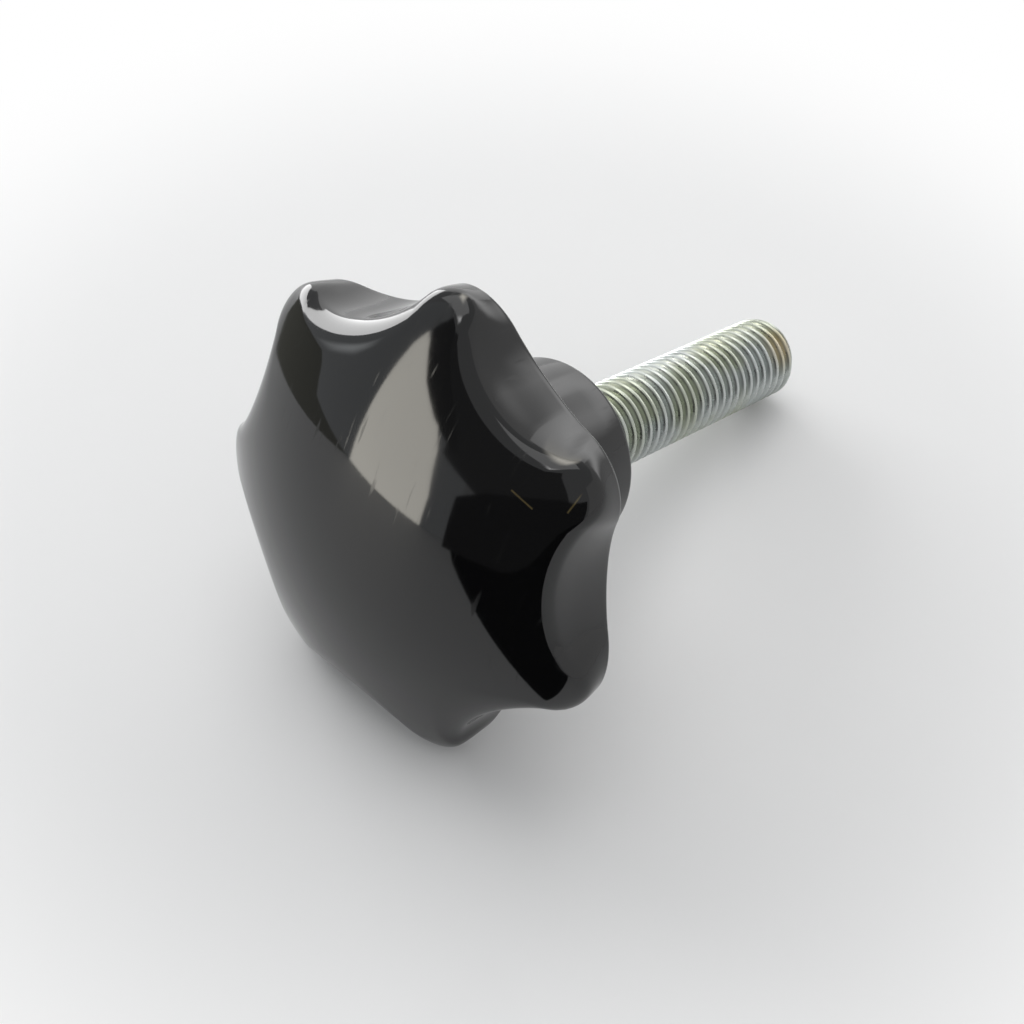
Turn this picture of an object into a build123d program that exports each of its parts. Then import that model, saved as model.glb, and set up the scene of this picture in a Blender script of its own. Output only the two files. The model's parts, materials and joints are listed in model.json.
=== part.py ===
from build123d import *
import os
from math import atan2, cos, degrees, pi, sin

# Tulip knob, lying on two of its lobes and on the tip of its stud.
# Everything is in millimetres. The knob is first modelled on its own axis: the seat of the
# boss is the plane z = 0, the stud points to +z and the head lies at negative z, with one
# lobe towards +y. The last step tilts it into the pose in which it rests on the floor.

# Head
lobes = 7
knob_height = 38.7       # seat of the boss to the crown of the domed face
dome_radius = 50.3       # curvature of the face
rim_drop = 23.6          # seat to the back rim at the lobe tips
back_cone = 0.53         # rise of the conical back for each millimetre of radius
edge_roll = 1.8          # rounding between the face and the walls
rim_round = 0.4          # rounding of the back rim
points_per_arc = 4       # points of the outline on each tip and in each valley

# Outlines of the head at seven depths behind the seat:
# depth, reach of the lobes, radius of a lobe's tip, distance from the axis to a valley.
# The tips narrow towards the face, and the lobe ends are slightly barrelled.
outlines = [
    (12.0, 28.9, 6.9, 24.75),
    (18.0, 29.3, 6.6, 24.75),
    (23.6, 30.0, 5.95, 24.8),
    (26.8, 30.45, 4.9, 24.8),
    (30.0, 30.2, 3.6, 24.8),
    (34.0, 29.4, 2.7, 24.6),
    (42.0, 27.2, 2.1, 24.1),
]

# Boss
boss_diameter = 25.3
boss_rim_round = 0.8
boss_root_round = 1.5

# Stud, M12
stud_diameter = 12.0
stud_length = 50.0       # free length, seat to tip
stud_chamfer = 1.3
anchor_diameter = 10.8   # the bar before its thread is rolled, met by a 45 degree run-out
anchor_depth = 24.0      # length held inside the moulding
flat_start = 6.0         # the two flats lie between these depths, so that the
flat_end = 20.0          # moulding grips the stud both ways
flat_width = 9.0         # across the flats


def arc_points(centre, radius, start, end):
    """Points spread evenly inside an arc between two angles, in radians."""
    spacing = (end - start) / points_per_arc
    angles = [start + spacing * (i + 0.5) for i in range(points_per_arc)]
    return [centre + Vector(cos(angle), sin(angle)) * radius for angle in angles]


def lobed_outline(depth, reach, tip_radius, valley_distance):
    """The lobed outline at one depth: tip arcs and valley arcs that touch, as one smooth curve."""
    half_step = pi / lobes
    tip_centre = reach - tip_radius
    # The valley arc's radius follows from its distance and from touching the tip arc.
    valley_radius = (
        tip_radius**2
        - valley_distance**2
        - tip_centre**2
        + 2 * tip_centre * valley_distance * cos(half_step)
    ) / (2 * (valley_distance - tip_centre * cos(half_step) - tip_radius))
    tip_middle = Vector(tip_centre, 0)
    direction = Vector(cos(half_step), sin(half_step))
    valley_middle = direction * (valley_distance + valley_radius)
    between = valley_middle - tip_middle
    tip_half_angle = atan2(between.Y, between.X)
    tip_arc = arc_points(tip_middle, tip_radius, -tip_half_angle, tip_half_angle)
    valley_arc = arc_points(
        valley_middle, valley_radius, tip_half_angle + pi, 2 * half_step + pi - tip_half_angle
    )
    points = [
        Vector(point.X, point.Y, -depth).rotate(Axis.Z, 90 + lobe * 360 / lobes)
        for lobe in range(lobes)
        for point in tip_arc + valley_arc
    ]
    # Evenly spaced knots, the same at every depth, keep the walls between outlines smooth.
    knots = [i / len(points) for i in range(len(points) + 1)]
    return Face(Wire([Edge.make_spline(points, periodic=True, parameters=knots)]))


def below_the_back():
    """The space on the face's side of the conical back, wider and deeper than the head."""
    outer = 33.0
    deep = -60.0

    def back(radius):
        return -rim_drop + back_cone * (30.0 - radius)

    with BuildPart() as space:
        with BuildSketch(Plane.XZ):
            with BuildLine():
                Polyline((0, deep), (outer, deep), (outer, back(outer)), (0, back(0)), (0, deep))
            make_face()
        revolve(axis=Axis.Z)
    return space.part


def lobed_edges(face):
    """The edges of a turned face that follow the lobes."""
    turned = (GeomType.CIRCLE, GeomType.LINE)
    return [edge for edge in face.edges() if edge.geom_type not in turned]


def make_head():
    """The lobed head: lofted walls cut by a ball and a cone, with rolled edges."""
    walls = loft([lobed_outline(*outline) for outline in outlines])
    # The ball is turned so that its poles lie off the face.
    ball = Pos(0, 0, dome_radius - knob_height) * Rot(0, -90, 0) * Sphere(dome_radius)
    head = walls & ball & below_the_back()
    face = head.faces().filter_by(GeomType.SPHERE)[0]
    head = fillet(face.edges(), edge_roll)
    back = head.faces().filter_by(GeomType.CONE)[0]
    return fillet(lobed_edges(back), rim_round)


def make_stud():
    """The steel stud: a round bar with a chamfered tip, thinner and flatted in the moulding."""
    free = Cylinder(
        stud_diameter / 2, stud_length, align=(Align.CENTER, Align.CENTER, Align.MIN)
    )
    free = chamfer(free.edges().sort_by(Axis.Z)[-1], stud_chamfer)
    run_out = Cone(
        anchor_diameter / 2,
        stud_diameter / 2,
        (stud_diameter - anchor_diameter) / 2,
        align=(Align.CENTER, Align.CENTER, Align.MAX),
    )
    anchor = Cylinder(
        anchor_diameter / 2, anchor_depth, align=(Align.CENTER, Align.CENTER, Align.MAX)
    )
    flat_depth = (anchor_diameter - flat_width) / 2
    middle = -(flat_start + flat_end) / 2
    for side in (1, -1):
        anchor -= Pos(side * (flat_width + flat_depth) / 2, 0, middle) * Box(
            flat_depth, anchor_diameter, flat_end - flat_start
        )
    return free + run_out + anchor


def make_body(stud):
    """Head and boss in one moulding, shaped around the stud."""
    boss = Cylinder(
        boss_diameter / 2, knob_height - 12.0, align=(Align.CENTER, Align.CENTER, Align.MAX)
    )
    body = make_head() + boss
    seat_rim = body.edges().filter_by(GeomType.CIRCLE).sort_by(Axis.Z)[-1]
    body = fillet(seat_rim, boss_rim_round)
    root = [
        edge
        for edge in body.edges().filter_by(GeomType.CIRCLE)
        if abs(edge.radius - boss_diameter / 2) < 0.01 and edge.center().Z < -5.0
    ]
    body = fillet(root, boss_root_round)
    return body - stud


def laid_down(shape, tilt):
    """The shape turned so that the stud points along +x and down by the tilt, in radians."""
    plane = Plane(origin=(0, 0, 0), x_dir=(0, 1, 0), z_dir=(cos(tilt), 0, -sin(tilt)))
    return plane.location * shape


def lowest(shape, tilt):
    return laid_down(shape, tilt).bounding_box().min.Z


def resting_tilt(body, stud):
    """The tilt at which the lobes and the tip of the stud reach the floor together."""
    low, high = 0.1, 0.6
    for _ in range(24):
        tilt = (low + high) / 2
        if lowest(stud, tilt) > lowest(body, tilt):
            low = tilt
        else:
            high = tilt
    return (low + high) / 2


stud = make_stud()
body = make_body(stud)
tilt = resting_tilt(body, stud)
nodes = {"knob_body": laid_down(body, tilt), "threaded_stud": laid_down(stud, tilt)}

# The frame: the floor is z = 0, and the origin lies under the middle of the whole object.
box = nodes["knob_body"].bounding_box().add(nodes["threaded_stud"].bounding_box())
shift = Pos(-(box.min.X + box.max.X) / 2, 0, -box.min.Z)

os.makedirs("parts", exist_ok=True)
for name, shape in nodes.items():
    export_step(shift * shape, f"parts/{name}.step")

tip = shift * laid_down(Pos(0, 0, stud_length), tilt)
seat = shift * laid_down(Pos(0, 0, 0), tilt)
print("tilt", degrees(tilt), "box", box.size)
print("seat", seat.position, "tip", tip.position)
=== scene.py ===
# %% [markdown]
# A tulip knob: dressing a CAD part for a product picture.
#
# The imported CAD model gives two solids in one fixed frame: a black moulded head with seven
# lobes, and the steel stud that is moulded into it. This script loads that frame, sets up the
# camera and the light of the photograph, gives both pieces their finish, and puts a head with
# softer edges and a real helical thread in place of the plain solids. Lengths are in metres,
# except where a comment says millimetres.

# %% Load the frame
import json
from math import atan2, cos, pi, radians, sin, sqrt

import bpy
from mathutils import Matrix, Vector


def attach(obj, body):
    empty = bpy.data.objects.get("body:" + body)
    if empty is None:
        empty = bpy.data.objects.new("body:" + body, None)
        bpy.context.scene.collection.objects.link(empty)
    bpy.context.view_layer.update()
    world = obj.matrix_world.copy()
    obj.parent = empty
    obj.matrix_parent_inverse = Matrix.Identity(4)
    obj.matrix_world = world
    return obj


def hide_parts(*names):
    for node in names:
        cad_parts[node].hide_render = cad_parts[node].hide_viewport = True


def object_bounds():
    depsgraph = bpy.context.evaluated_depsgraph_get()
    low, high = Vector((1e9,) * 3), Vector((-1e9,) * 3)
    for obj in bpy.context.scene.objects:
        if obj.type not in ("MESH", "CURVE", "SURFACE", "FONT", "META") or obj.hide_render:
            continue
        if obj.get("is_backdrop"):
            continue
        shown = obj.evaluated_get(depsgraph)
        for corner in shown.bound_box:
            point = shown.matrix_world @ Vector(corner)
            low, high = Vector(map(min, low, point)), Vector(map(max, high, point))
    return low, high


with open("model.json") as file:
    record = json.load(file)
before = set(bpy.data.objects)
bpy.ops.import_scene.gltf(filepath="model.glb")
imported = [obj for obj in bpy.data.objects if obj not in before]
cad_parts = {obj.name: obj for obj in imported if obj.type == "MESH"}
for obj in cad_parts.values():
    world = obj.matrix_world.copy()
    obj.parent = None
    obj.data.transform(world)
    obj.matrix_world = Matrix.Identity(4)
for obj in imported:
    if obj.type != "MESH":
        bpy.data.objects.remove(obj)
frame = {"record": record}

bounds_at_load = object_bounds()
scene = bpy.context.scene
MM = 0.001

# %% [markdown]
# Everything is placed from the stud. Its mount in the record gives its axis, its length up to
# the chamfer and the middle of that length, so the seat, where the stud leaves the boss, lies
# half that length back.
# Both pieces are modelled upright, with the seat as z = 0 and the stud along +Z, and the
# matrix "knob_place" lays them down: its columns are the knob's side, its up and its axis.

# %% Seat and axis
stud = next(mount for mount in frame["record"]["mounts"] if mount["name"] == "stud")
stud_axis = Vector(stud["axis"]).normalized()
seat_centre = Vector(stud["pos_m"]) - stud_axis * stud["dims"]["length_mm"] / 2 * MM
head_depth = 25 * MM         # from the seat to about the middle of the head
head_middle = seat_centre - stud_axis * head_depth
side = Vector((0, 1, 0))
up = stud_axis.cross(side)
knob_place = Matrix((side, up, stud_axis)).transposed().to_4x4()
knob_place.translation = seat_centre
print("seat", [round(v / MM, 2) for v in seat_centre], "axis", [round(v, 4) for v in stud_axis])

# %% [markdown]
# The camera comes first, because everything else is judged through it. It stands to the front
# left of the face and looks down at about 48 degrees. Its place, its direction and its lens
# were found by fitting the outline of the knob and the grooves of the thread in the photograph.

# %% Camera
camera_place = Vector((-118.20, -95.35, 169.84)) * MM
camera_azimuth = 42.26       # degrees from +X towards +Y
camera_down = 47.67          # degrees below the horizon
camera_roll = 1.26           # degrees
picture_pixels = 1024
focal_pixels = 1611.0        # focal length in pixels of that picture

camera_data = bpy.data.cameras.new("camera")
camera_data.sensor_width = 36.0
camera_data.lens = focal_pixels / picture_pixels * camera_data.sensor_width
camera_data.clip_start = 0.01
camera = bpy.data.objects.new("camera", camera_data)
scene.collection.objects.link(camera)
turn = (
    Matrix.Rotation(radians(camera_azimuth - 90), 4, "Z")
    @ Matrix.Rotation(radians(90 - camera_down), 4, "X")
    @ Matrix.Rotation(radians(camera_roll), 4, "Z")
)
camera.matrix_world = Matrix.Translation(camera_place) @ turn
scene.camera = camera
scene.view_settings.view_transform = "Standard"
print("lens", round(camera_data.lens, 2), "mm")

# %% [markdown]
# Every material below is a node tree, so a few helpers keep them short: one feeds an input, one
# makes a node, two are for sums, one is a soft step, one mixes two colours, two make and use a
# node group, and one starts a material. Most give an output that can feed the next node.

# %% Node helpers
def feed(tree, socket, value):
    """Links an output to the socket, or gives the socket a plain value."""
    if isinstance(value, bpy.types.NodeSocket):
        tree.links.new(value, socket)
    else:
        socket.default_value = value


def add(tree, kind, inputs=None, **settings):
    """A node of the tree, with its settings and the values or links of its inputs."""
    node = tree.nodes.new(kind)
    for name, value in settings.items():
        setattr(node, name, value)
    for name, value in (inputs or {}).items():
        feed(tree, node.inputs[name], value)
    return node


def math(tree, operation, first, second=0.0, third=0.0, clamp=False):
    """The result of one sum on numbers or sockets."""
    inputs = {0: first, 1: second, 2: third}
    return add(tree, "ShaderNodeMath", inputs, operation=operation, use_clamp=clamp).outputs[0]


def vector_math(tree, operation, first, second=(0, 0, 0)):
    """The node of one sum on vectors, because some give a vector and some a number."""
    return add(tree, "ShaderNodeVectorMath", {0: first, 1: second}, operation=operation)


def smooth_range(tree, value, low, high, start=0.0, end=1.0):
    """A soft step: start below low, end above high."""
    inputs = {"Value": value, "From Min": low, "From Max": high, "To Min": start, "To Max": end}
    node = add(tree, "ShaderNodeMapRange", inputs, interpolation_type="SMOOTHSTEP")
    return node.outputs["Result"]


def mix_colour(tree, share, first, second):
    """The first colour where the share is 0, the second where it is 1."""
    return add(tree, "ShaderNodeMix", {0: share, 6: first, 7: second}, data_type="RGBA").outputs[2]


def new_group(name, kind, inputs, outputs):
    """A node group with named sockets, given as (name, socket type, default) and (name, type)."""
    tree = bpy.data.node_groups.new(name, kind)
    for label, socket, default in inputs:
        item = tree.interface.new_socket(label, in_out="INPUT", socket_type=socket)
        if default is not None:
            item.default_value = default
    for label, socket in outputs:
        tree.interface.new_socket(label, in_out="OUTPUT", socket_type=socket)
    return tree, tree.nodes.new("NodeGroupInput").outputs, tree.nodes.new("NodeGroupOutput").inputs


def place_group(tree, group, inputs):
    """The outputs of one use of a shader node group in a material."""
    return add(tree, "ShaderNodeGroup", inputs, node_tree=group).outputs


def new_material(name):
    """A new material, its node tree and its Principled shader."""
    material = bpy.data.materials.new(name)
    material.use_nodes = True
    tree = material.node_tree
    return material, tree, tree.nodes["Principled BSDF"]


# %% [markdown]
# The knob lies on a plain pale sheet. Near the knob it keeps the soft grey of the photograph
# and its shadows. Further out the camera sees it fade to white, as the page round the
# photograph is white. Only camera rays see the white, so it throws no light on the knob.

# %% Floor
floor_colour, floor_roughness, floor_gloss = (0.80, 0.80, 0.80, 1), 0.6, 0.2
floor_half = 2.0
picture_middle = Vector((2, 14, 0)) * MM      # where the photograph's middle meets the floor
fade_start, fade_end = 66 * MM, 135 * MM

floor_material, tree, shader = new_material("floor")
shader.inputs["Base Color"].default_value = floor_colour
shader.inputs["Roughness"].default_value = floor_roughness
shader.inputs["Specular IOR Level"].default_value = floor_gloss
where = add(tree, "ShaderNodeTexCoord").outputs["Object"]
from_middle = vector_math(tree, "DISTANCE", where, picture_middle).outputs["Value"]
faded = smooth_range(tree, from_middle, fade_start, fade_end)
seen = add(tree, "ShaderNodeLightPath").outputs["Is Camera Ray"]
white = add(tree, "ShaderNodeEmission", {"Color": (1, 1, 1, 1), "Strength": 1.0})
mixed = add(
    tree, "ShaderNodeMixShader",
    {0: math(tree, "MULTIPLY", faded, seen), 1: shader.outputs[0], 2: white.outputs[0]},
)
tree.links.new(mixed.outputs[0], tree.nodes["Material Output"].inputs["Surface"])


def add_mesh(name, points, faces, material):
    """A plain mesh object in the scene."""
    mesh = bpy.data.meshes.new(name)
    mesh.from_pydata(points, [], faces)
    mesh.materials.append(material)
    item = bpy.data.objects.new(name, mesh)
    scene.collection.objects.link(item)
    return item


corners = [(-1, -1, 0), (1, -1, 0), (1, 1, 0), (-1, 1, 0)]
floor_points = [Vector(corner) * floor_half for corner in corners]
floor = add_mesh("floor", floor_points, [(0, 1, 2, 3)], floor_material)
floor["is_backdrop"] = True
print("floor", floor_half * 2, "m wide")

# %% [markdown]
# A glossy black moulding shows its surroundings more than itself, so the room of the
# photograph is rebuilt from what the face reflects. Each part of it is a curtain: a strip
# that hangs round the knob, given as stations of azimuth, lowest and highest angle, with the
# radiance that the reflection asks for. A soft curtain turns clear towards its edges, where
# the photograph shows no edge. Curtains never show to the camera itself.

# %% Curtain helpers
def direction(azimuth, height):
    """The unit vector of a direction seen from the knob, with angles in degrees."""
    turned, raised = radians(azimuth), radians(height)
    return Vector((cos(turned) * cos(raised), sin(turned) * cos(raised), sin(raised)))


def glow(name, radiance, colour):
    """A material that only sends out light; where the mesh's "share" is low it turns clear."""
    material, tree, shader = new_material(name)
    tree.nodes.remove(shader)
    share = add(tree, "ShaderNodeAttribute", attribute_name="share").outputs["Fac"]
    light = add(tree, "ShaderNodeEmission", {"Color": (*colour, 1), "Strength": radiance}).outputs[0]
    clear = add(tree, "ShaderNodeBsdfTransparent").outputs[0]
    glowing = smooth_range(tree, share, 0.0, 1.0)
    both = add(tree, "ShaderNodeMixShader", {0: glowing, 1: clear, 2: light})
    tree.links.new(both.outputs[0], tree.nodes["Material Output"].inputs["Surface"])
    return material


def set_shares(item, shares):
    """Sets how strongly each point of a stage piece glows, from 0 to 1."""
    layer = item.data.attributes.new("share", "FLOAT", "POINT")
    for value, share in zip(layer.data, shares):
        value.value = share


def reflected_only(item):
    """Hides a stage piece from everything but reflections."""
    item.visible_camera = False
    item.visible_diffuse = False
    item.visible_shadow = False


def curtain(name, distance, stations, radiance, colour=(1, 1, 1), soft=False):
    """A strip of three rows of points; a soft one fades out towards all its edges."""
    points, faces, shares = [], [], []
    edge = 0.0 if soft else 1.0
    for step, (azimuth, low, high) in enumerate(stations):
        middle = edge if step in (0, len(stations) - 1) else 1.0
        for height, share in ((low, edge), ((low + high) / 2, middle), (high, edge)):
            points.append(head_middle + direction(azimuth, height) * distance)
            shares.append(share)
    for i in range(0, len(points) - 3, 3):
        faces += [(i, i + 3, i + 4, i + 1), (i + 1, i + 4, i + 5, i + 2)]
    item = add_mesh(name, points, faces, glow(name, radiance, colour))
    set_shares(item, shares)
    item.visible_camera = False
    item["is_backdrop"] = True
    return item


# %% [markdown]
# The bright curtains come first. The window gives the pale patch on the face, with the grey
# wall beside it. The window behind lights the roll above the upper left valley, and the right
# side of the room shows in the walls of the lobes and on the boss. Three of them show in
# reflections only, because the floor would be too bright with their light.

# %% Bright curtains
warm_white = (1.0, 0.965, 0.875)
cool_white = (0.95, 0.98, 1.0)
olive = (1.0, 1.0, 0.86)

window_stations = [
    (137, 33, 38), (143, -1, 36), (150, -1, 34), (160, -1, 29), (166, -1, 20), (169, -1, 8)
]
back_window_stations = [(60, -2, 22), (78, 0, 28), (92, 2, 28), (103, 8, 26)]
pale_post_stations = [(110, 9, 24), (116, 9, 24), (123, 9, 22)]
grey_wall_stations = [(103, -1, 60), (124, -1, 60), (150, -1, 45), (178, -1, 30)]
olive_board_stations = [(88, -2, -1), (97, -2, 2), (108, -2, 8), (116, -2, 8), (124, -2, -1)]
right_wall_stations = [(12, 12, 34), (30, -4, 34), (52, -6, 34), (76, -2, 22)]
right_room_stations = [(-110, -2, 40), (-60, -2, 42), (-20, -2, 42), (14, -2, 36)]
right_window_stations = [(-36, 10, 29), (-14, 11, 31), (8, 11, 31), (26, 9, 36), (40, 14, 36)]
lamp_strip_stations = [(18, 26, 72), (35, 24, 76), (56, 34, 76)]
top_lamp_stations = [(135, 66, 84), (160, 65, 86), (185, 66, 84)]

window = curtain("window", 1.2, window_stations, 5.6, warm_white)
curtain("back_window", 1.3, back_window_stations, 6.6)
curtain("pale_post", 1.3, pale_post_stations, 2.0, cool_white, soft=True)
curtain("grey_wall", 1.4, grey_wall_stations, 0.66, cool_white)
curtain("olive_board", 1.2, olive_board_stations, 0.27, olive)
curtain("right_wall", 1.4, right_wall_stations, 1.55)
curtain("right_room", 1.5, right_room_stations, 0.75)
curtain("right_window", 1.3, right_window_stations, 2.5, soft=True)
lamp_strip = curtain("lamp_strip", 1.2, lamp_strip_stations, 6.0, warm_white, soft=True)
top_lamp = curtain("top_lamp", 1.2, top_lamp_stations, 6.0, soft=True)
for lamp in (window, lamp_strip, top_lamp):
    reflected_only(lamp)
print("only in reflections", window.name, lamp_strip.name, top_lamp.name)

# %% [markdown]
# The dark curtains hang nearer than the bright ones, so they cover them. They give the black
# side of the face: a dark edge beside the window, a nearly black board low down, and a dim
# room above it.

# %% Dark curtains
flag_stations = [(137, 40, 62), (142, 37, 62), (150, 32, 62), (160, 27, 62), (172, 24, 60)]
viewer_stations = [(177, -3, 13), (185, -3, 18), (207, -3, 23), (245, -3, 24)]
dim_room_stations = [(168, 21, 62), (185, 15, 64), (212, 18, 64)]

black_flag = curtain("black_flag", 0.6, flag_stations, 0.09)
viewer = curtain("viewer", 0.65, viewer_stations, 0.05)
dim_room = curtain("dim_room", 0.7, dim_room_stations, 0.12)
for dark in (black_flag, viewer, dim_room):
    reflected_only(dark)
print("dark", black_flag.name, viewer.name, dim_room.name)

# %% [markdown]
# Two dark shapes lie just above the sheet, outside the picture. One stands for a dark table to
# the left of the pale sheet, the other for something black on the camera's side of the knob.
# They show in the face only, as its dark olive wedge and the lower part of its black side.

# %% Dark ground
above_floor = 0.3            # both shapes lie this far above the sheet, in millimetres
far = 1900                   # and reach this far out


def ground(name, outline, radiance, colour=(1, 1, 1)):
    """A flat shape just above the floor, in millimetres, that only reflections see."""
    points = [Vector((x, y, above_floor)) * MM for x, y in outline]
    item = add_mesh(name, points, [tuple(range(len(points)))], glow(name, radiance, colour))
    set_shares(item, [1.0] * len(points))
    reflected_only(item)
    item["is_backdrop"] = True
    return item


ground("dark_table", [(-61, 174), (-40, far), (-far, far), (-far, 1358)], 0.27, olive)
ground("black_thing", [(-54, -36), (-800, -1700), (-far, -far), (-far, 60), (-380, -10)], 0.0)
print("dark ground reaches", far, "mm")

# %% [markdown]
# The rest is plain studio light: a soft ceiling lamp and an even, very slightly cool room.
# The camera itself sees the world as white, like the page round the photograph.

# %% Soft light
def area_light(name, azimuth, height, distance, size, radiance):
    """A soft square lamp that faces the knob and has the radiance given."""
    data = bpy.data.lights.new(name, "AREA")
    data.shape = "SQUARE"
    data.size = size
    data.energy = radiance * pi * size * size
    light = bpy.data.objects.new(name, data)
    towards = direction(azimuth, height)
    facing = (-towards).to_track_quat("-Z", "Y").to_matrix().to_4x4()
    light.matrix_world = Matrix.Translation(head_middle + towards * distance) @ facing
    light.visible_camera = False
    scene.collection.objects.link(light)
    return light


area_light("ceiling", azimuth=60, height=70, distance=1.6, size=1.3, radiance=1.1)

world = bpy.data.worlds.new("world")
scene.world = world
world.use_nodes = True
tree = world.node_tree
room_colour, room_strength = (0.98, 0.99, 1.0, 1), 0.54
room = tree.nodes["Background"]
room.inputs["Color"].default_value = room_colour
room.inputs["Strength"].default_value = room_strength
page = add(tree, "ShaderNodeBackground", {"Color": (1, 1, 1, 1), "Strength": 1.0})
seen = add(tree, "ShaderNodeLightPath").outputs["Is Camera Ray"]
both = add(tree, "ShaderNodeMixShader", {0: seen, 1: room.outputs[0], 2: page.outputs[0]})
tree.links.new(both.outputs[0], tree.nodes["World Output"].inputs["Surface"])

# %% [markdown]
# Three effects serve both pieces, so each is a node group with named inputs. "uneven_gloss"
# varies the roughness in soft clouds, as handling does. "specks" gives small round dots for
# dust and pits. "scuff" gives one short soft line between two points, a mark of wear.

# %% Shared effects
vector_in, float_in = "NodeSocketVector", "NodeSocketFloat"

uneven_gloss, given, result = new_group(
    "uneven_gloss", "ShaderNodeTree",
    [
        ("Vector", vector_in, None), ("Scale", float_in, 60.0),
        ("Low", float_in, 0.05), ("High", float_in, 0.1),
    ],
    [("Roughness", float_in)],
)
clouds = add(
    uneven_gloss, "ShaderNodeTexNoise",
    {"Vector": given["Vector"], "Scale": given["Scale"], "Detail": 3.0},
)
level = smooth_range(uneven_gloss, clouds.outputs["Fac"], 0.3, 0.7, given["Low"], given["High"])
uneven_gloss.links.new(level, result["Roughness"])

specks, given, result = new_group(
    "specks", "ShaderNodeTree",
    [
        ("Vector", vector_in, None), ("Scale", float_in, 400.0),
        ("Size", float_in, 0.1), ("Share", float_in, 0.05),
    ],
    [("Mask", float_in)],
)
cells = add(specks, "ShaderNodeTexVoronoi", {"Vector": given["Vector"], "Scale": given["Scale"]})
dot = smooth_range(specks, cells.outputs["Distance"], 0.0, given["Size"], 1.0, 0.0)
pick = add(specks, "ShaderNodeSeparateColor", {"Color": cells.outputs["Color"]}).outputs["Red"]
chosen = math(specks, "LESS_THAN", pick, given["Share"])
specks.links.new(math(specks, "MULTIPLY", dot, chosen), result["Mask"])

scuff, given, result = new_group(
    "scuff", "ShaderNodeTree",
    [
        ("Vector", vector_in, None), ("From", vector_in, None),
        ("To", vector_in, None), ("Width", float_in, 0.3 * MM),
    ],
    [("Mask", float_in)],
)
along = vector_math(scuff, "SUBTRACT", given["To"], given["From"]).outputs["Vector"]
out = vector_math(scuff, "SUBTRACT", given["Vector"], given["From"]).outputs["Vector"]
share = math(
    scuff, "DIVIDE",
    vector_math(scuff, "DOT_PRODUCT", out, along).outputs["Value"],
    vector_math(scuff, "DOT_PRODUCT", along, along).outputs["Value"],
    clamp=True,
)
nearest = add(scuff, "ShaderNodeVectorMath", {0: along, "Scale": share}, operation="SCALE")
gap = vector_math(scuff, "DISTANCE", out, nearest.outputs["Vector"]).outputs["Value"]
scuff.links.new(smooth_range(scuff, gap, 0.0, given["Width"], 1.0, 0.0), result["Mask"])
print("groups", [group.name for group in bpy.data.node_groups])

# %% [markdown]
# The head is a glossy black moulding. Its own colour is nearly black, and its look is all in
# the reflection: a clear gloss, a touch uneven, with fine polishing streaks, a little dust and
# two short yellowish scuffs on the face near the lower right lobe.

# %% Black moulding
black_colour = (0.0035, 0.0035, 0.0038, 1)
dust_colour = (0.10, 0.10, 0.095, 1)
scuff_colour, scuff_width = (0.09, 0.07, 0.03, 1), 0.17 * MM
scuff_lines = [              # from and to, in millimetres
    ((-31.77, -16.73, 44.95), (-31.40, -19.32, 43.79)),
    ((-27.27, -23.02, 46.16), (-29.34, -22.59, 44.02)),
]
streak_dulling = 0.16        # how much rougher a streak is
black_ior = 1.56

black, tree, shader = new_material("black_moulding")
where = add(tree, "ShaderNodeTexCoord").outputs["Object"]

gloss = place_group(
    tree, uneven_gloss, {"Vector": where, "Scale": 70.0, "Low": 0.045, "High": 0.085}
)
streak_turn = add(
    tree, "ShaderNodeMapping",
    {"Vector": where, "Rotation": (0.0, radians(16.0), radians(9.0)), "Scale": (1.0, 9.0, 1.0)},
)
streaks = add(
    tree, "ShaderNodeTexNoise",
    {"Vector": streak_turn.outputs["Vector"], "Scale": 190.0, "Detail": 2.0, "Roughness": 0.4},
).outputs["Fac"]
streak = smooth_range(tree, streaks, 0.62, 0.76)
roughness = math(tree, "MULTIPLY_ADD", streak, streak_dulling, gloss["Roughness"])
tree.links.new(roughness, shader.inputs["Roughness"])

dust = place_group(
    tree, specks, {"Vector": where, "Scale": 260.0, "Size": 0.07, "Share": 0.035}
)["Mask"]
marks = 0.0
for start, end in scuff_lines:
    ends = {"From": Vector(start) * MM, "To": Vector(end) * MM, "Width": scuff_width}
    mark = place_group(tree, scuff, {"Vector": where, **ends})["Mask"]
    marks = math(tree, "MAXIMUM", marks, mark)
worn = mix_colour(tree, marks, black_colour, scuff_colour)
tree.links.new(mix_colour(tree, dust, worn, dust_colour), shader.inputs["Base Color"])

ripple = add(tree, "ShaderNodeTexNoise", {"Vector": where, "Scale": 420.0, "Detail": 2.0})
bump = add(
    tree, "ShaderNodeBump",
    {"Height": ripple.outputs["Fac"], "Strength": 0.05, "Distance": 0.02 * MM},
)
tree.links.new(bump.outputs["Normal"], shader.inputs["Normal"])
shader.inputs["IOR"].default_value = black_ior
print("black_moulding", len(tree.nodes), "nodes")

# %% [markdown]
# The head follows a rule: seven equal lobes, a domed face and a conical back. At each depth
# behind the seat its outline is a tip arc and a valley arc that touch. The sizes of the arcs
# are known at a few depths and are read smoothly between them. The head's lengths are in
# millimetres.

# %% Outline of the head
lobes = 7
half_step = pi / lobes
# depth, reach of a lobe, radius of its tip, distance from the axis to a valley
outline_rows = [
    (12.0, 28.9, 6.9, 24.75),
    (18.0, 29.3, 6.6, 24.75),
    (23.6, 30.0, 5.95, 24.8),
    (26.8, 30.5, 4.9, 24.8),
    (30.0, 30.4, 3.7, 24.8),
    (34.0, 29.7, 2.8, 24.6),
    (42.0, 27.2, 2.1, 24.1),
]


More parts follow.
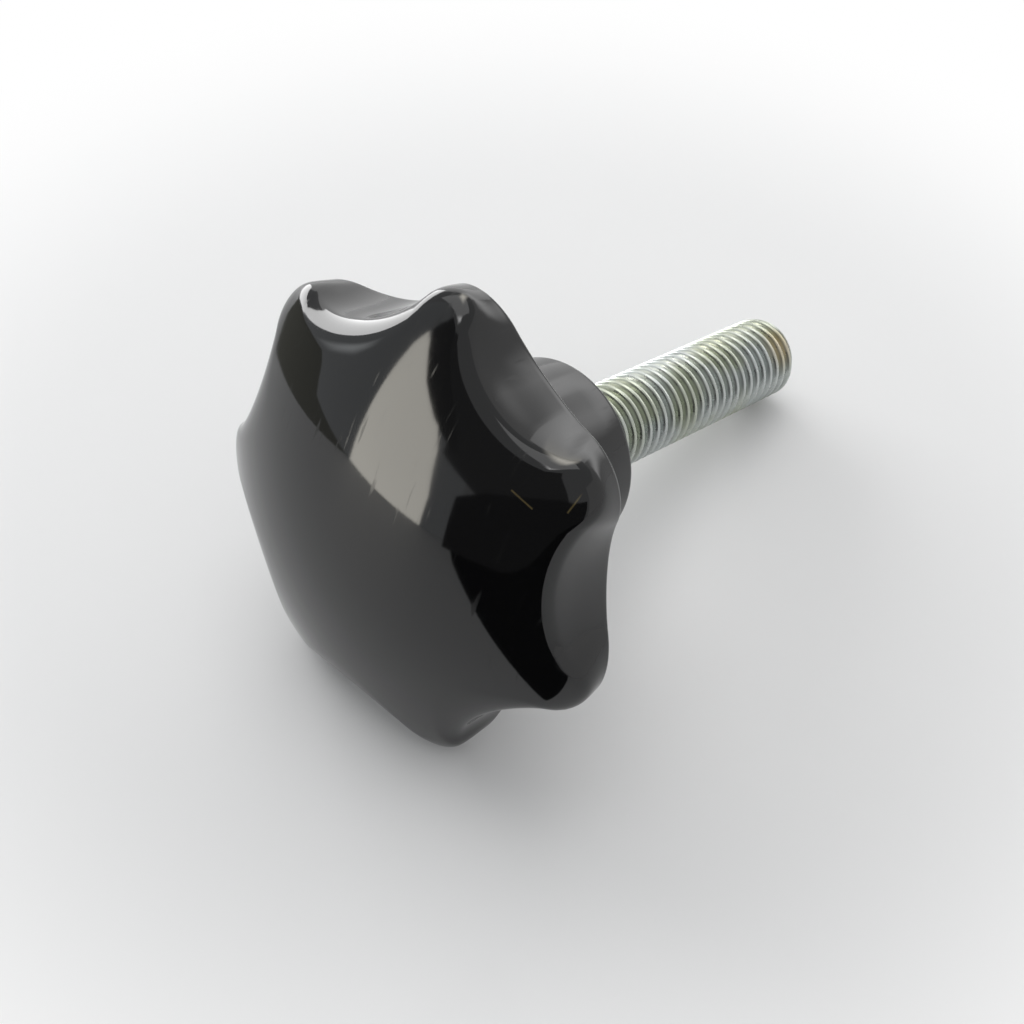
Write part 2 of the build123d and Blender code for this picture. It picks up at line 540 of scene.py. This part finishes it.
def outline_at(depth):
    """Reach, tip radius and valley distance at a depth, on a smooth curve through the rows."""
    last = len(outline_rows) - 1
    index = max(i for i in range(last) if i == 0 or outline_rows[i][0] <= depth)
    before, start, end, after = (
        outline_rows[min(max(i, 0), last)] for i in range(index - 1, index + 3)
    )
    span = end[0] - start[0]
    t = (depth - start[0]) / span
    values = []
    for k in (1, 2, 3):
        slope_in = (end[k] - before[k]) / (end[0] - before[0]) * span
        slope_out = (after[k] - start[k]) / (after[0] - start[0]) * span
        values.append(
            (2 * t**3 - 3 * t**2 + 1) * start[k] + (t**3 - 2 * t**2 + t) * slope_in
            + (3 * t**2 - 2 * t**3) * end[k] + (t**3 - t**2) * slope_out
        )
    return values


def wall_radius(angle, depth):
    """How far the wall is from the axis, at an angle measured from the nearest lobe."""
    reach, tip, valley = outline_at(depth)
    tip_centre = reach - tip
    bend = (tip**2 - valley**2 - tip_centre**2 + 2 * tip_centre * valley * cos(half_step)) / (
        2 * (valley - tip_centre * cos(half_step) - tip)
    )
    bend_centre = valley + bend
    touch_x = tip_centre + (bend_centre * cos(half_step) - tip_centre) * tip / (tip + bend)
    touch_y = bend_centre * sin(half_step) * tip / (tip + bend)
    if angle <= atan2(touch_y, touch_x):
        return tip_centre * cos(angle) + sqrt(tip**2 - (tip_centre * sin(angle)) ** 2)
    turned = half_step - angle
    return bend_centre * cos(turned) - sqrt(bend**2 - (bend_centre * sin(turned)) ** 2)


print("wall at the back rim of a lobe", round(wall_radius(0, 23.6), 2), "mm from the axis")

# %% [markdown]
# The profile of the head is worked out in a half plane through the axis, once for each angle.
# The dome and the wall are joined by a roll, a curve that leaves both along their tangents.
# The roll reaches far into the face above the valleys and is tight on the lobes, as the
# bright bands in the photograph show. The same helper rounds the back rim and the boss.

# %% Profile of the head
knob_height, dome_radius = 38.7, 50.3
rim_drop, rim_reach = 23.6, 30.0      # depth and radius of the back rim at the lobe tips
back_cone = 0.53                      # change of depth for each millimetre of radius
boss_radius, boss_edge, boss_root = 12.65, 0.8, 1.5
bore_radius, anchor_radius, anchor_depth = 6.0, 5.4, 24.0
face_roll = {"tip": (2.6, 2.0), "valley": (5.2, 2.0)}     # reach into the face, down the wall
rim_roll = 0.4
row_counts = {
    "face": 36, "roll": 18, "wall": 16, "rim": 5, "back": 12,
    "boss root": 7, "boss": 4, "boss edge": 7, "seat": 4,
}


def dome_depth(radius):
    return knob_height - dome_radius + sqrt(dome_radius**2 - radius**2)


def back_depth(radius):
    return rim_drop - back_cone * (rim_reach - radius)


def meeting_radius(angle, surface_depth):
    """Where the wall meets a turned surface, by going back and forth between the two."""
    radius = 27.0                # any start between a valley and a tip will do
    for _ in range(40):
        radius = wall_radius(angle, surface_depth(radius))
    return radius


def steps(start, end, count):
    """Evenly spaced values after start, up to and with end."""
    return [start + (end - start) * (i + 1) / count for i in range(count)]


def curve_between(start, start_slope, end, end_slope, count):
    """Points of a curve that leaves start and reaches end along the two given directions."""
    (r0, d0), (r1, d1) = start, end
    (a, b), (c, d) = start_slope, end_slope
    share = ((r1 - r0) * d - (d1 - d0) * c) / (a * d - b * c)
    corner = (r0 + a * share, d0 + b * share)
    points = []
    for t in steps(0, 1, count):
        points.append(tuple(
            (1 - t) ** 2 * start[k] + 2 * t * (1 - t) * corner[k] + t**2 * end[k] for k in (0, 1)
        ))
    return points


def profile(angle):
    """Radius and depth of each row of the head at one angle, from the crown to the bore."""
    valley = (1 - cos(lobes * angle)) / 2
    reach, drop = (
        tip + (deep - tip) * valley for tip, deep in zip(face_roll["tip"], face_roll["valley"])
    )
    edge = meeting_radius(angle, dome_depth)
    face_end = edge - reach
    wall_start = dome_depth(edge) - drop
    rim = meeting_radius(angle, back_depth)
    wall_end = back_depth(rim) + rim_roll
    back_start = rim - rim_roll

    def wall_slope(depth):
        small = 0.05
        return (wall_radius(angle, depth - small) - wall_radius(angle, depth), -small)

    counts = row_counts
    rows = [(face_end * t, dome_depth(face_end * t)) for t in steps(0, 1, counts["face"])]
    face_slope = (1.0, -face_end / sqrt(dome_radius**2 - face_end**2))
    wall_top = (wall_radius(angle, wall_start), wall_start)
    rows += curve_between(rows[-1], face_slope, wall_top, wall_slope(wall_start), counts["roll"])
    rows += [(wall_radius(angle, d), d) for d in steps(wall_start, wall_end, counts["wall"])]
    back_slope = (-1.0, -back_cone)
    back_point = (back_start, back_depth(back_start))
    rows += curve_between(rows[-1], wall_slope(wall_end), back_point, back_slope, counts["rim"])
    root = boss_radius + boss_root
    rows += [(r, back_depth(r)) for r in steps(back_start, root, counts["back"])]
    straight = (0.0, -1.0)
    boss_low = (boss_radius, back_depth(boss_radius) - boss_root)
    rows += curve_between(rows[-1], back_slope, boss_low, straight, counts["boss root"])
    rows += [(boss_radius, d) for d in steps(boss_low[1], boss_edge, counts["boss"])]
    seat_rim = (boss_radius - boss_edge, 0.0)
    rows += curve_between(rows[-1], straight, seat_rim, (-1.0, 0.0), counts["boss edge"])
    rows += [(r, 0.0) for r in steps(seat_rim[0], bore_radius, counts["seat"])]
    rows += [(anchor_radius, bore_radius - anchor_radius), (anchor_radius, anchor_depth)]
    return rows


print("rows from crown to bore", len(profile(0)))

# %% [markdown]
# Turned round the axis, the profiles become one grid of quads, closed by a point on the crown
# and one at the bottom of the bore. This mesh stands for the CAD head and fills nearly the same
# space: its roll is wider, and its lobes reach up to 0.3 mm further near the face.

# %% Make the head
columns_per_lobe = 48


def make_head():
    """The head as one closed mesh, with the seat as z = 0."""
    columns = lobes * columns_per_lobe
    by_angle = [
        profile(abs(k - columns_per_lobe / 2) * 2 * half_step / columns_per_lobe)
        for k in range(columns_per_lobe)
    ]
    points = [(0, 0, -knob_height)]
    for k in range(columns):
        angle = (k / columns_per_lobe - 0.5) * 2 * half_step + pi / 2
        for radius, depth in by_angle[k % columns_per_lobe]:
            points.append((radius * cos(angle), radius * sin(angle), -depth))
    points.append((0, 0, -anchor_depth))
    rows, last = len(by_angle[0]), len(points) - 1
    faces = []
    for k in range(columns):
        here, beside = 1 + k * rows, 1 + (k + 1) % columns * rows
        faces.append((0, beside, here))
        for i in range(rows - 1):
            faces.append((here + i, beside + i, beside + i + 1, here + i + 1))
        faces.append((here + rows - 1, beside + rows - 1, last))
    return points, faces


points, faces = make_head()
head = add_mesh("lobed_head", [Vector(point) * MM for point in points], faces, black)
head.data.transform(knob_place)
for polygon in head.data.polygons:
    polygon.use_smooth = True
head.data.set_sharp_from_angle(angle=radians(40))
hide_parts("knob_body")
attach(head, "root")
print("head", len(head.data.polygons), "faces")

# %% [markdown]
# The stud is zinc-plated steel. The plating is silver with a yellow-green cast that comes and
# goes, a stronger yellow patch near the tip, and painted shade at the bottom of the grooves.
# The thread's mesh carries how deep each point lies, and the material reads it by name.

# %% Zinc plating
silver = (0.50, 0.53, 0.52, 1)
yellow_green = (0.45, 0.48, 0.40, 1)
yellow = (0.72, 0.50, 0.16, 1)
# the colour of the painted shade in the grooves
groove_shade_colour = (0.17, 0.19, 0.175, 1)
pit_colour = (0.25, 0.24, 0.2, 1)
patch_place = 46.5 * MM      # from the seat, along the stud
stud_radius = 6 * MM

zinc, tree, shader = new_material("zinc_plated_steel")
where = add(tree, "ShaderNodeTexCoord").outputs["Object"]
clouds = add(tree, "ShaderNodeTexNoise", {"Vector": where, "Scale": 110.0, "Detail": 2.0})
clouds = clouds.outputs["Fac"]
plating = mix_colour(tree, smooth_range(tree, clouds, 0.38, 0.62), silver, yellow_green)

to_camera = camera_place - seat_centre
across_stud = (to_camera - to_camera.dot(stud_axis) * stud_axis).normalized()
patch_middle = seat_centre + stud_axis * patch_place + across_stud * stud_radius
from_patch = vector_math(tree, "DISTANCE", where, patch_middle).outputs["Value"]
patch = smooth_range(tree, from_patch, 0.5 * MM, 4.5 * MM, 0.8, 0.0)
plating = mix_colour(tree, math(tree, "MULTIPLY", patch, clouds), plating, yellow)

depth = add(tree, "ShaderNodeAttribute", attribute_name="groove_depth").outputs["Fac"]
# Painted shade: the colour darkens towards the bottom of each groove.
painted_groove_shade = smooth_range(tree, depth, 0.45, 0.95, 0.0, 0.7)
plating = mix_colour(tree, painted_groove_shade, plating, groove_shade_colour)
pits = place_group(
    tree, specks, {"Vector": where, "Scale": 900.0, "Size": 0.2, "Share": 0.02}
)["Mask"]
plating = mix_colour(tree, pits, plating, pit_colour)
tree.links.new(plating, shader.inputs["Base Color"])
gloss = place_group(
    tree, uneven_gloss, {"Vector": where, "Scale": 500.0, "Low": 0.24, "High": 0.36}
)
tree.links.new(gloss["Roughness"], shader.inputs["Roughness"])
shader.inputs["Metallic"].default_value = 1.0
print("zinc_plated_steel", len(tree.nodes), "nodes")

# %% [markdown]
# A thread is a shape that follows a rule, so Geometry Nodes make it. A grid is rolled round
# the axis and its rows climb one pitch in each turn. The radius of each point follows from
# its place between two crests, so one smooth step gives the whole groove.

# %% Thread sizes
thread_inputs = [
    ("Length", "NodeSocketFloat", 50 * MM),
    ("Pitch", "NodeSocketFloat", 1.75 * MM),
    ("Crest Radius", "NodeSocketFloat", stud_radius),
    ("Groove Depth", "NodeSocketFloat", 1.07 * MM),
    ("Chamfer", "NodeSocketFloat", 1.3 * MM),
    ("Anchor Length", "NodeSocketFloat", 24 * MM),
    ("Run Out", "NodeSocketFloat", 0.65 * MM),
    ("Segments", "NodeSocketInt", 96),
    ("Rows", "NodeSocketInt", 500),
    ("Rows Per Turn", "NodeSocketInt", 16),
    ("Material", "NodeSocketMaterial", None),
]
tree, given, result = new_group(
    "thread", "GeometryNodeTree", thread_inputs, [("Geometry", "NodeSocketGeometry")]
)
tree.is_modifier = True
start_turns = 1.5            # the grid starts this many turns below the seat
groove_half = (0.02, 0.40)   # where the groove's floor ends and its crest begins, in pitches
fade_in = 0.5 * MM           # over this length the groove deepens at the seat
seam = 0.002 * MM            # points nearer than this are merged


def combine(x, y, z):
    """A vector from three numbers or sockets."""
    return add(tree, "ShaderNodeCombineXYZ", {"X": x, "Y": y, "Z": z}).outputs["Vector"]


# %% [markdown]
# The grid's x runs once round the stud and its y counts the rows. "free" is how far a point
# has climbed, and "along" is the same kept between the end of the run-out, a short cone
# just inside the moulding, and the tip.

# %% Climb of the thread
grid = add(
    tree, "GeometryNodeMeshGrid",
    {"Size X": 1.0, "Size Y": 1.0, "Vertices X": math(tree, "ADD", given["Segments"], 1.0),
     "Vertices Y": given["Rows"]},
)
place = add(tree, "GeometryNodeInputPosition").outputs[0]
place = add(tree, "ShaderNodeSeparateXYZ", {"Vector": place}).outputs
turn_share = math(tree, "ADD", place["X"], 0.5)
last_row = math(tree, "SUBTRACT", given["Rows"], 1.0)
row = math(tree, "MULTIPLY", math(tree, "ADD", place["Y"], 0.5), last_row)
climb = math(tree, "SUBTRACT", math(tree, "DIVIDE", row, given["Rows Per Turn"]), start_turns)
free = math(tree, "MULTIPLY", math(tree, "ADD", climb, turn_share), given["Pitch"])
base = math(tree, "MULTIPLY", given["Run Out"], -1.0)
along = math(tree, "MINIMUM", math(tree, "MAXIMUM", free, base), given["Length"])

# %% [markdown]
# From its middle to a crest the groove rises in one smooth step, and the other side mirrors it.
# Below the seat there is no groove, and the radius shrinks as fast as "along" does, which makes
# the run-out. The chamfer at the tip takes the radius down too, and the smaller of the two radii
# is the one left. The groove is kept as an attribute, "groove_depth", for the material.

# %% Groove and chamfer
turns = math(tree, "DIVIDE", along, given["Pitch"])
# Two whole turns are added, which keeps the number positive and leaves its fraction alone.
phase = math(tree, "FRACT", math(tree, "SUBTRACT", turns, math(tree, "SUBTRACT", turn_share, 2.0)))
from_groove = math(tree, "ABSOLUTE", math(tree, "SUBTRACT", phase, 0.5))
groove = smooth_range(tree, from_groove, *groove_half, 1.0, 0.0)
groove = math(tree, "MULTIPLY", groove, smooth_range(tree, along, 0.0, fade_in))
cut = math(tree, "MULTIPLY", groove, given["Groove Depth"])
threaded = math(tree, "SUBTRACT", given["Crest Radius"], cut)
threaded = math(tree, "ADD", threaded, math(tree, "MINIMUM", along, 0.0))
chamfer_start = math(tree, "SUBTRACT", given["Length"], given["Chamfer"])
past = math(tree, "MAXIMUM", math(tree, "SUBTRACT", along, chamfer_start), 0.0)
radius = math(tree, "MINIMUM", threaded, math(tree, "SUBTRACT", given["Crest Radius"], past))
angle = math(tree, "MULTIPLY", turn_share, 2 * pi)
marked = add(
    tree, "GeometryNodeStoreNamedAttribute",
    {"Geometry": grid.outputs["Mesh"], "Name": "groove_depth", "Value": groove},
)
rolled_place = combine(
    math(tree, "MULTIPLY", radius, math(tree, "COSINE", angle)),
    math(tree, "MULTIPLY", radius, math(tree, "SINE", angle)),
    along,
)
rolled = add(
    tree, "GeometryNodeSetPosition",
    {"Geometry": marked.outputs["Geometry"], "Position": rolled_place},
)

# %% [markdown]
# A disc closes the tip, and a plain shank goes on inside the moulding to a disc that is turned
# over, so that it faces outwards. The parts are joined, the seams are merged, and the tree ends
# in Realize Instances and Set Material.

# %% Tip, shank and finish
def moved(geometry, height):
    """The geometry lifted by a height."""
    inputs = {"Geometry": geometry, "Translation": combine(0.0, 0.0, height)}
    return add(tree, "GeometryNodeTransform", inputs).outputs["Geometry"]


def disc(radius):
    inputs = {"Vertices": given["Segments"], "Radius": radius}
    return add(tree, "GeometryNodeMeshCircle", inputs, fill_type="NGON").outputs["Mesh"]


tip_radius = math(tree, "SUBTRACT", given["Crest Radius"], given["Chamfer"])
tip = moved(disc(tip_radius), given["Length"])

shank_radius = math(tree, "SUBTRACT", given["Crest Radius"], given["Run Out"])
shank_depth = math(tree, "SUBTRACT", given["Anchor Length"], given["Run Out"])
shank_middle = math(
    tree, "MULTIPLY", math(tree, "ADD", given["Anchor Length"], given["Run Out"]), -0.5
)
tube = add(
    tree, "GeometryNodeMeshCylinder",
    {"Vertices": given["Segments"], "Radius": shank_radius, "Depth": shank_depth},
    fill_type="NONE",
)
shank = moved(tube.outputs["Mesh"], shank_middle)
turned_over = add(tree, "GeometryNodeFlipFaces", {"Mesh": disc(shank_radius)}).outputs["Mesh"]
shank_end = moved(turned_over, math(tree, "MULTIPLY", given["Anchor Length"], -1.0))

joined = add(tree, "GeometryNodeJoinGeometry")
for part in (shank, shank_end, tip, rolled.outputs["Geometry"]):
    tree.links.new(part, joined.inputs["Geometry"])
merged = add(
    tree, "GeometryNodeMergeByDistance",
    {"Geometry": joined.outputs["Geometry"], "Distance": seam},
)
real = add(tree, "GeometryNodeRealizeInstances", {"Geometry": merged.outputs["Geometry"]})
dressed = add(
    tree, "GeometryNodeSetMaterial",
    {"Geometry": real.outputs["Geometry"], "Material": given["Material"]},
)
tree.links.new(dressed.outputs["Geometry"], result["Geometry"])
print("thread tree", len(tree.nodes), "nodes")

# %% [markdown]
# A carrier object runs the tree once. Its inputs are set by their identifiers, the evaluated
# shape becomes a plain mesh, and the carrier is thrown away. The tree builds along +Z from
# the seat, so "knob_place" takes the mesh to where the stud lies.

# %% Make the stud
def made_by_nodes(name, tree, values, place):
    """The mesh that a geometry node group gives for these values, moved to its place."""
    carrier = bpy.data.objects.new(name + "_carrier", bpy.data.meshes.new(name + "_carrier"))
    scene.collection.objects.link(carrier)
    modifier = carrier.modifiers.new("nodes", "NODES")
    modifier.node_group = tree
    identifiers = {item.name: item.identifier for item in tree.interface.items_tree}
    for label, value in values.items():
        modifier[identifiers[label]] = value
    carrier.update_tag()
    evaluated = carrier.evaluated_get(bpy.context.evaluated_depsgraph_get())
    mesh = bpy.data.meshes.new_from_object(evaluated)
    bpy.data.objects.remove(carrier)
    mesh.transform(place)
    mesh.name = name
    piece = bpy.data.objects.new(name, mesh)
    scene.collection.objects.link(piece)
    return piece


thread = made_by_nodes("stud_thread", tree, {"Material": zinc}, knob_place)
for polygon in thread.data.polygons:
    polygon.use_smooth = True
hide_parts("threaded_stud")
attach(thread, "root")
edge_uses = {}
for polygon in thread.data.polygons:
    for edge in polygon.edge_keys:
        edge_uses[edge] = edge_uses.get(edge, 0) + 1
open_edges = sum(count != 2 for count in edge_uses.values())
print("thread", len(thread.data.polygons), "faces", open_edges, "open edges")

# %% [markdown]
# Last, the box of the CAD model is set against the box of the dressed one, and the largest
# difference between them is printed, to show how well the dressing keeps the size.

# %% Finish
bounds_at_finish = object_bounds()
differences = [
    abs(a - b) for old, new in zip(bounds_at_load, bounds_at_finish) for a, b in zip(old, new)
]
print("the boxes differ by up to", round(max(differences) / MM, 2), "mm")
